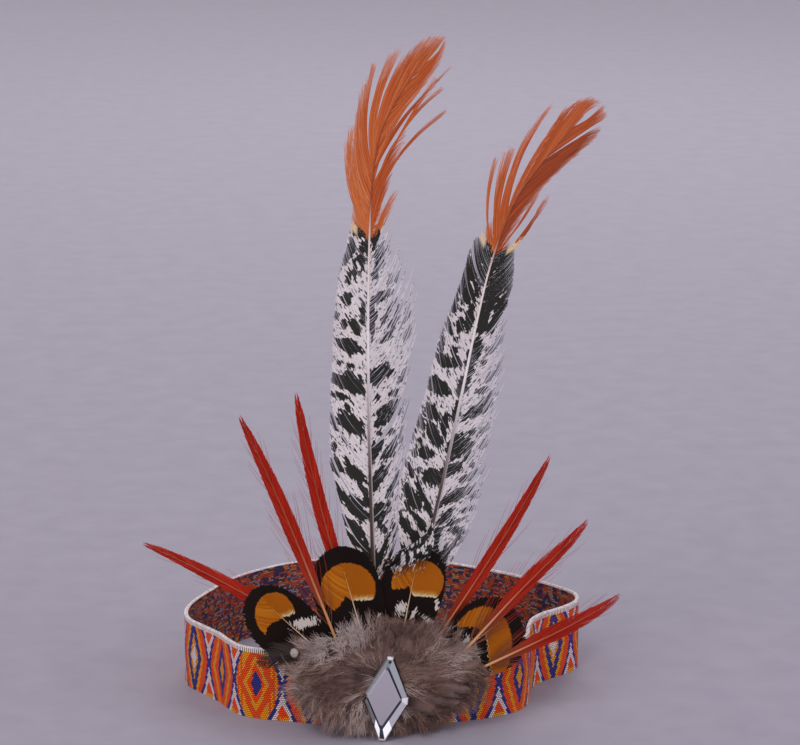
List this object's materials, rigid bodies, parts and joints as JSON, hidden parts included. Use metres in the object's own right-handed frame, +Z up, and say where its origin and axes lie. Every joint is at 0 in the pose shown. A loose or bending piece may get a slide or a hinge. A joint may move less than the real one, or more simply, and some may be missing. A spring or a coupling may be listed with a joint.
{
  "type": "feathered headdress",
  "caption": "Woven stretch headband standing on its edge, with a fan of barred, red and eyed feathers, a pad of down and a cut rhombus stone at the front.",
  "frame": {"origin": "under the middle of the band's front wall, on the surface that the band stands on", "axes": "+Z up along the feathers, -Y out of the front where the stone is, +X to the right seen from the front"},
  "size_m": [0.1847, 0.1514, 0.2636],
  "materials": {
    "woven_elastic": "jacquard woven elastic in orange, yellow, navy and white threads",
    "barred_feather": "white feather barred with black, dyed orange at the tip",
    "red_feather": "narrow red feather, silky",
    "eyed_feather": "orange feather with a black rim and black and white base",
    "dark_feather": "dark brown feather with a pale spot",
    "grey_down": "soft brown-grey down",
    "cut_glass": "polished faceted glass, mirror-backed"
  },
  "bodies": {
    "root": {"headband": "woven_elastic", "tail_feather_left": "barred_feather", "tail_feather_right": "barred_feather", "red_feather_1": "red_feather", "red_feather_2": "red_feather", "red_feather_3": "red_feather", "red_feather_4": "red_feather", "red_feather_5": "red_feather", "red_feather_6": "red_feather", "eyed_feather_1": "eyed_feather", "eyed_feather_2": "eyed_feather", "eyed_feather_3": "eyed_feather", "eyed_feather_4": "eyed_feather", "dark_side_feather": "dark_feather", "down_mound": "grey_down", "crystal": "cut_glass"}
  },
  "joints": []
}
